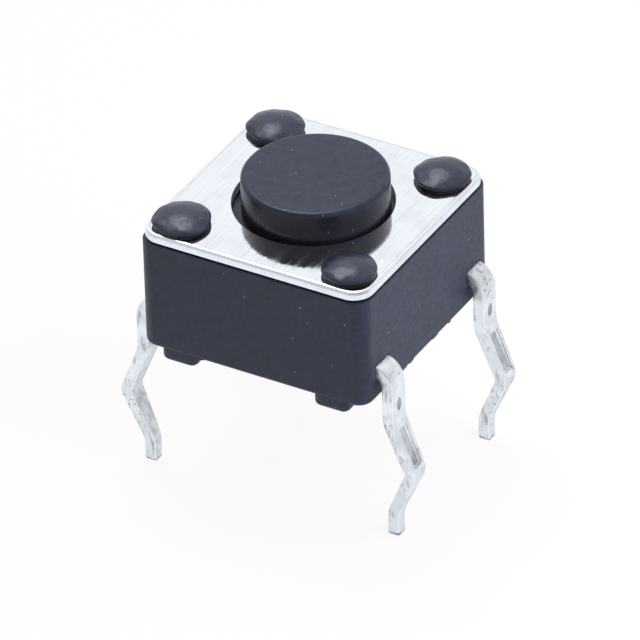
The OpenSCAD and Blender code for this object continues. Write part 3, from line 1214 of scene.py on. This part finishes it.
class StripPath:
    """A strip drawn out of one cross-section, through straight runs and bends in the X-Z plane."""

    def __init__(self, row: Row) -> None:
        """Starts the strip at x = 0, heading along +X.

        Args:
            row: the strip.
        """
        self.bm = bmesh.new()
        self.place = Vector((0.0, row.middle, (row.bottom + row.top) / 2))
        self.angle = 0.0
        bmesh.ops.create_grid(self.bm, x_segments=1, y_segments=1, size=0.5)
        bmesh.ops.scale(self.bm, vec=(row.thickness, STRIP_WIDTH, 1.0), verts=self.bm.verts)
        turn = Matrix.Rotation(math.radians(90), 3, "Y")
        bmesh.ops.rotate(self.bm, cent=ORIGIN, matrix=turn, verts=self.bm.verts)
        bmesh.ops.translate(self.bm, vec=self.place, verts=self.bm.verts)
        self.face = self.bm.faces[:][0]

    def heading(self) -> Vector:
        """Returns the direction the strip runs in."""
        return Vector((math.cos(self.angle), 0.0, math.sin(self.angle)))

    def move_to(self, made: Iterable[object]) -> None:
        """Makes a new end face the current one.

        Args:
            made: what was drawn out. The old end face goes, because it would lie inside.
        """
        if self.face.is_valid:
            bmesh.ops.delete(self.bm, geom=[self.face], context="FACES_ONLY")
        self.face = next(g for g in made if isinstance(g, bmesh.types.BMFace))

    def run(self, length: float, narrow: float = 1.0) -> None:
        """Draws the strip straight on.

        Args:
            length: how far, in metres.
            narrow: the width at the end, as a share of the width at the start.
        """
        self.move_to(bmesh.ops.extrude_face_region(self.bm, geom=[self.face])["geom"])
        self.place += self.heading() * length
        verts = self.face.verts
        bmesh.ops.translate(self.bm, vec=self.heading() * length, verts=verts)
        space = Matrix.Translation(-self.place)
        bmesh.ops.scale(self.bm, vec=(1.0, narrow, 1.0), space=space, verts=verts)

    def bend(self, degrees: float, radius: float, steps: int) -> None:
        """Bends the strip.

        Args:
            degrees: the turn, towards the strip's right side where it is positive.
            radius: to the middle of the metal, in metres.
            steps: faces along the bend.
        """
        turn = math.radians(degrees)
        side = Vector((-math.sin(self.angle), 0.0, math.cos(self.angle)))
        centre = self.place - side * math.copysign(radius, turn)
        spun = bmesh.ops.spin(
            self.bm,
            geom=[self.face],
            cent=centre,
            axis=(0.0, 1.0, 0.0),
            angle=turn,
            steps=steps,
            use_merge=False,
        )
        self.move_to(spun["geom_last"])
        self.place = centre + Matrix.Rotation(turn, 3, "Y") @ (self.place - centre)
        self.angle -= turn


def slope(out: float, down: float) -> Pair:
    """Returns the length of a slanting stretch and its angle from upright, in degrees."""
    return math.hypot(out, down), math.degrees(math.atan2(out, down))


def setback(radius: float, degrees: float) -> float:
    """Returns how far a bend reaches along each stretch that it joins."""
    return radius * math.tan(math.radians(degrees / 2))


@dataclass
class LegStrip:
    """One formed strip, with a kinked leg at each end and its contacts inside the housing."""

    row: Row
    metal: TinnedStrip
    # The channel's floor and the dimple take darker finishes: painted shade in the recesses.
    recess: TinnedStrip
    pressed: TinnedStrip
    cut_end: TinnedStrip
    bend_inside: float = 0.3 * MM
    soft_radius: float = 0.9 * MM
    kink_radius: float = 0.35 * MM
    knee: float = 0.3 * MM
    kink: float = 1.7 * MM
    kink_out: float = 0.57 * MM
    gap: float = 0.13 * MM
    tail: float = 0.65 * MM
    taper_from: float = 1.2 * MM
    tip_width: float = 0.34 * MM
    tip_cut: float = 0.08 * MM
    bare_end: float = 0.06 * MM
    edge: float = 0.04 * MM
    edge_angle: float = 0.7
    mark_edge: float = 0.045 * MM
    channel_depth: float = 0.06 * MM
    channel_width: float = 0.34 * MM
    channel_from: float = 0.24 * MM
    channel_stop: float = 0.17 * MM
    dimple_depth: float = 0.05 * MM
    dimple_width: float = 0.2 * MM
    dimple_height: float = 0.36 * MM
    dimple_place: float = 0.15 * MM
    middle_contact: float = 0.9 * MM
    outer_contact: float = 0.5 * MM
    outer_place: float = 1.925 * MM
    sharp: float = 40.0

    def build(self) -> Piece:
        """Returns:
            The piece.
        """
        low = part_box(self.row.value)[0].z
        metal = replace(self.metal, bare_below=(low + self.bare_end) / MM).material()
        obj = to_object(self.formed(), "leg_strip_" + self.row.name.lower(), [metal])
        cut(obj, self.contacts(), Cut.ADD)
        channels = [self.channel(side) for side in SIDES]
        # The channel's floor takes the recess finish, darker as painted shade.
        cut(obj, channels, Cut.REMOVE, [self.recess.material(), metal])
        dimples = [self.dimple(side) for side in SIDES]
        cut(obj, dimples, Cut.REMOVE, [self.pressed.material()])
        obj.data.materials.append(self.cut_end.material())
        for face in obj.data.polygons:
            if face.center.z < low + self.tip_cut / 2:
                face.material_index = len(obj.data.materials) - 1
        smooth(obj, self.sharp)
        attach(obj, "housing")
        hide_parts(self.row.value)
        return obj

    def upright(self) -> float:
        """Returns x of the middle of a leg's upright stretch."""
        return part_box("base_housing")[1].x + self.gap + STRIP_THICKNESS / 2

    def formed(self) -> Mesh:
        """Draws one half of the strip and its leg, and mirrors it.

        Returns:
            The mesh of the whole strip, with its blanked edges rounded.
        """
        path = StripPath(self.row)
        turn = self.bend_inside + self.row.thickness / 2
        tip = -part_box(self.row.value)[0].z
        slant, out = slope(self.kink_out, self.kink - self.knee)
        return_slant, back = slope(self.kink_out, tip - self.tail - self.kink)
        knee = setback(self.soft_radius, out)
        kink = setback(self.kink_radius, out + back)
        ankle = setback(self.soft_radius, back)
        path.run(self.upright() - turn)
        path.bend(90.0, turn, CORNER_FACES)
        path.run(path.place.z + self.knee - knee)
        path.bend(-out, self.soft_radius, SOFT_FACES)
        path.run(slant - knee - kink)
        path.bend(out + back, self.kink_radius, CORNER_FACES)
        path.run(return_slant - kink - ankle)
        path.bend(-back, self.soft_radius, SOFT_FACES)
        path.run(self.tail - ankle - self.tip_cut)
        path.run(self.tip_cut, 1 - 2 * self.tip_cut / STRIP_WIDTH)
        bm = path.bm
        self.narrow(bm, tip)
        whole = bm.verts[:] + bm.edges[:] + bm.faces[:]
        bmesh.ops.mirror(bm, geom=whole, merge_dist=NEAR, axis="X")
        bmesh.ops.remove_doubles(bm, verts=bm.verts, dist=NEAR)
        bmesh.ops.recalc_face_normals(bm, faces=bm.faces)
        sharp = [e for e in bm.edges if e.is_manifold and e.calc_face_angle() > self.edge_angle]
        bevel(bm, sharp, self.edge, EDGE_FACES)
        return bm

    def narrow(self, bm: Mesh, tip: float) -> None:
        """Draws the legs in below the taper's start.

        Args:
            bm: the mesh.
            tip: depth of the leg's end.
        """
        length = tip - self.tail - self.taper_from
        middle = self.row.middle
        for vert in bm.verts:
            share = ramp((-vert.co.z - self.taper_from) / length)
            factor = 1 - share * (1 - self.tip_width / STRIP_WIDTH)
            vert.co.y = middle + (vert.co.y - middle) * factor

    def contacts(self) -> list[Mesh]:
        """Makes the arms and formed contacts on the cavity's floor.

        Returns:
            Their meshes.
        """
        row, top = self.row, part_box(self.row.value)[1].z
        if row is Row.FRONT:
            places = [(0.0, self.middle_contact)]
        else:
            places = [(side * self.outer_place, self.outer_contact) for side in SIDES]
        tools = []
        for x, size in places:
            centre = (x, row.middle / 2, (row.top + row.bottom) / 2)
            tools.append(block((size, abs(row.middle), row.thickness), centre))
            tools.append(drum(size, row.bottom, top, (x, 0.0), PIN_FACES))
        return tools

    def channel(self, side: int) -> Mesh:
        """Makes the channel pressed into a leg's outer face between the knee and the kink.

        Args:
            side: 1 for the leg on the +X side, -1 for the other.

        Returns:
            The tool. Its floor has the first finish, and its flanks the second.
        """
        slant, lean = slope(self.kink_out, self.kink - self.knee)
        length = slant - self.channel_from - self.channel_stop
        bm = block(
            (2 * self.channel_depth, self.channel_width, length),
            (self.row.thickness / 2, 0.0, -self.channel_from - length / 2),
        )
        bevel(bm, bm.edges[:], self.mark_edge, EDGE_FACES)
        for face in bm.faces:
            face.material_index = int(face.normal.x > -ACROSS)
        turn = Matrix.Rotation(-math.radians(lean), 3, "Y")
        bmesh.ops.rotate(bm, cent=ORIGIN, matrix=turn, verts=bm.verts)
        place = (self.upright(), self.row.middle, -self.knee)
        bmesh.ops.translate(bm, vec=place, verts=bm.verts)
        return self.to_side(bm, side)

    def dimple(self, side: int) -> Mesh:
        """Makes the dimple pressed into a leg's outer face above the knee.

        Args:
            side: 1 for the leg on the +X side, -1 for the other.

        Returns:
            The tool.
        """
        bm = bmesh.new()
        bmesh.ops.create_uvsphere(bm, u_segments=32, v_segments=16, radius=1.0)
        size = (self.dimple_depth, self.dimple_width / 2, self.dimple_height / 2)
        place = (self.upright() + self.row.thickness / 2, self.row.middle, self.dimple_place)
        return self.to_side(fit(bm, size, place), side)

    def to_side(self, bm: Mesh, side: int) -> Mesh:
        """Turns a tool for the +X leg round to the other leg, if it is meant for that one.

        Args:
            bm: the tool.
            side: 1 for the leg on the +X side, -1 for the other.

        Returns:
            The same tool.
        """
        if side < 0:
            half_turn = Matrix.Rotation(math.pi, 3, "Z")
            middle = (0.0, self.row.middle, 0.0)
            bmesh.ops.rotate(bm, cent=middle, matrix=half_turn, verts=bm.verts)
        return bm


@dataclass
class SnapDome:
    """The spring dome under the button. The real dome flattens as the button is pressed; this piece
    keeps its resting shape.
    """

    metal: SpringSheet
    sheet: float = 0.06 * MM
    play: float = 0.002 * MM
    rings: int = 12

    def build(self) -> Piece:
        """Returns:
            The piece.
        """
        low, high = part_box("snap_dome")
        rim = high.x
        top = high.z - self.play
        rise = top - self.sheet - low.z
        inner = (rim**2 + rise**2) / (2 * rise)
        outer = inner + self.sheet
        middle = (0.0, top - outer)
        inner_edge = math.degrees(math.acos(rim / inner))
        outer_edge = math.degrees(math.acos(rim / outer))
        profile = [
            (0.0, top - self.sheet),
            *arc(middle, (inner, inner), 90.0, inner_edge, self.rings)[1:],
            *arc(middle, (outer, outer), outer_edge, 90.0, self.rings)[:-1],
            (0.0, top),
        ]
        cap = turned(profile, AXIS, HOLLOW_FACES)
        obj = to_object(cap, "spring_dome", [self.metal.material()])
        smooth(obj)
        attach(obj, "housing")
        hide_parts("snap_dome")
        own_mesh(obj)
        return obj


# ---------------- studio


def direction(azimuth: float, elevation: float) -> Vector:
    """Returns the way towards a viewer, at degrees from the front to the +X side and upwards."""
    a, e = math.radians(azimuth), math.radians(elevation)
    return Vector((math.sin(a) * math.cos(e), -math.cos(a) * math.cos(e), math.sin(e)))


@dataclass(frozen=True)
class Lamp:
    """A soft square lamp that faces the switch."""

    name: str
    azimuth: float
    elevation: float
    size: float
    strength: float
    colour: Colour
    mirrored: bool = False
    distance: float = 60 * MM

    def build(self) -> None:
        """Hangs the lamp round the switch, at its azimuth and elevation in degrees."""
        data = bpy.data.lights.new(self.name, "AREA")
        data.shape = "SQUARE"
        data.size = self.size
        data.color = self.colour
        data.energy = self.strength * self.distance**2 * math.pi**2
        obj = bpy.data.objects.new(self.name, data)
        away = direction(self.azimuth, self.elevation)
        obj.location = away * self.distance
        obj.rotation_mode = "QUATERNION"
        obj.rotation_quaternion = away.to_track_quat("Z", "Y")
        obj.visible_camera = False
        obj.visible_glossy = self.mirrored
        bpy.context.scene.collection.objects.link(obj)


@dataclass
class Studio:
    """The floor, the lamps, the sky and the camera.

    In the sky, a range of a direction's part says where one colour gives way to another.
    """

    paper: StudioFloor
    azimuth: float = 30.506
    elevation: float = 34.326
    roll: float = -1.688
    distance: float = 240 * MM
    lens: float = 559.7
    clip: Pair = (1 * MM, 10.0)
    aim_right: float = 0.075 * MM
    aim_up: float = 0.073 * MM
    floor_radius: float = 0.5
    floor_drop: float = 0.002 * MM
    lamps: tuple[Lamp, ...] = (
        Lamp("key", 95.0, 35.0, 50 * MM, 0.75, (0.78, 0.88, 1.0)),
        Lamp("top", 232.0, 67.0, 28 * MM, 0.4, (0.88, 0.93, 1.0), mirrored=True),
    )
    ambient: float = 0.5
    pale: Colour = (0.95, 0.97, 1.0)
    dim: Colour = (0.7, 0.72, 0.76)
    white: Colour = (0.925, 0.955, 1.0)
    grey: Colour = (0.62, 0.65, 0.7)
    behind_from: Pair = (-0.25, 0.3)
    front: Colour = (0.45, 0.46, 0.49)
    front_from: Pair = (0.55, 0.85)
    side: Colour = (0.42, 0.44, 0.48)
    side_from: Pair = (0.3, 0.6)
    side_behind: Pair = (0.15, 0.6)
    side_left: float = 0.3

    def build(self) -> None:
        """Builds the whole studio."""
        self.floor()
        self.sky()
        for lamp in self.lamps:
            lamp.build()
        self.camera()

    def floor(self) -> None:
        """Lays the paper under the leg tips."""
        bm = bmesh.new()
        radius, low = self.floor_radius, cad_box[0].z - self.floor_drop
        bmesh.ops.create_circle(bm, cap_ends=True, segments=HOLLOW_FACES, radius=radius)
        bmesh.ops.translate(bm, vec=(0.0, 0.0, low), verts=bm.verts)
        obj = to_object(bm, "floor", [self.paper.material()])

    def sky(self) -> None:
        """Makes the surroundings: white to the eye, and dimmer in front where they light or shine."""
        world = bpy.data.worlds.new("sky")
        world.use_nodes = True
        bpy.context.scene.world = world
        g = Graph(world.node_tree)
        towards = g.add("TexCoord").outputs["Generated"]
        split = g.parts(towards)
        behind = g.range(split["Y"], self.behind_from)
        ahead = {0: towards, 1: direction(self.azimuth, self.elevation)}
        front = g.node("VectorMath", "Value", ahead, operation="DOT_PRODUCT")
        fade = g.range(split["Y"], self.side_behind, (1.0, self.side_left))
        beside = g.maths("MULTIPLY", g.range(split["X"], self.side_from), fade)
        sides = g.blend(beside, g.blend(behind, self.grey, self.white), self.side)
        mirrored = g.blend(g.range(front, self.front_from), sides, self.front)
        ambient = g.blend(behind, self.dim, self.pale)
        path = g.add("LightPath").outputs
        shiny = g.maths("MAXIMUM", path["Is Glossy Ray"], path["Is Transmission Ray"])
        lit = g.mix(shiny, g.backdrop(ambient, self.ambient), g.backdrop(mirrored))
        seen = g.mix(path["Is Camera Ray"], lit, g.backdrop(WHITE))
        g.link(seen, g.add("OutputWorld").inputs["Surface"])

    def camera(self) -> None:
        """Sets the camera up."""
        data = bpy.data.cameras.new("camera")
        data.lens = self.lens
        data.clip_start, data.clip_end = self.clip
        obj = bpy.data.objects.new("camera", data)
        back = direction(self.azimuth, self.elevation)
        turned_by = Matrix.Rotation(math.radians(self.roll), 3, back)
        right = turned_by @ Vector(UP).cross(back).normalized()
        up = back.cross(right)
        place = back * self.distance + right * self.aim_right + up * self.aim_up
        axes = Matrix((right, up, back)).transposed().to_4x4()
        obj.matrix_world = Matrix.Translation(place) @ axes
        bpy.context.scene.collection.objects.link(obj)
        bpy.context.scene.camera = obj


# ---------------- the scene


def main() -> None:
    """Builds the switch and its studio."""
    logging.basicConfig(level=logging.INFO, format="%(name)s: %(message)s")
    bpy.context.scene.view_settings.view_transform = "Standard"
    resin = Resin("charcoal_resin", (0.0195, 0.0205, 0.044), roughness=0.42, shine=0.43)
    staked = Resin(
        "staked_resin",
        (0.0225, 0.0235, 0.047),
        roughness=0.3,
        shine=0.5,
        grain_mm=0.001,
        wave=Pattern(3.0),
        wave_mm=0.018,
        # Painted shade on the upright sides of the heads.
        flank_shade=(0.02, 0.0175, 0.019),
    )
    cap = Resin(
        "button_resin_finish",
        (0.0195, 0.023, 0.044),
        roughness=0.3,
        shine=0.37,
        grain_mm=0.0005,
        mottle=0.35,
        speck=(0.15, 0.16, 0.19),
        speck_scale=3.2,
        speck_size=0.11,
        # Painted shade on the button's side.
        flank_shade=(0.0145, 0.0145, 0.0205),
    )
    tin = TinnedStrip("tinned_strip", (0.93, 0.925, 0.925), stain=(0.38, 0.37, 0.36))
    # The channel's floor: rougher, and darker as painted shade in the recess.
    recess = TinnedStrip(
        "recess_shade_strip",
        (0.72, 0.72, 0.74),
        stain=(0.3, 0.3, 0.3),
        edge_highlight=(0.85, 0.85, 0.85),
        roughness=0.5,
        cloud=0.6,
    )
    # The dimple: darker still, as painted shade in the hollow.
    pressed = TinnedStrip(
        "dimple_shade_strip",
        (0.6, 0.59, 0.58),
        stain=(0.3, 0.29, 0.27),
        edge_highlight=(0.6, 0.59, 0.58),
        roughness=0.55,
    )
    cut_end = TinnedStrip(
        "cut_strip",
        (0.32, 0.31, 0.3),
        stain=(0.16, 0.15, 0.15),
        edge_highlight=(0.5, 0.5, 0.5),
        roughness=0.45,
    )
    makers = [
        Housing(resin, staked),
        CoverPlate(BrushedPlate("brushed_plate", (0.955, 0.96, 0.98))),
        Button(cap),
        LegStrip(Row.FRONT, tin, recess, pressed, cut_end),
        LegStrip(Row.BACK, tin, recess, pressed, cut_end),
        SnapDome(SpringSheet("spring_sheet", (0.72, 0.71, 0.68))),
    ]
    for maker in makers:
        piece = maker.build()
        log.info("%s: %d faces", piece.name, len(piece.data.polygons))
    Studio(StudioFloor("studio_paper", (0.72, 0.72, 0.73), own_light=0.9)).build()


if __name__ == "__main__":
    main()
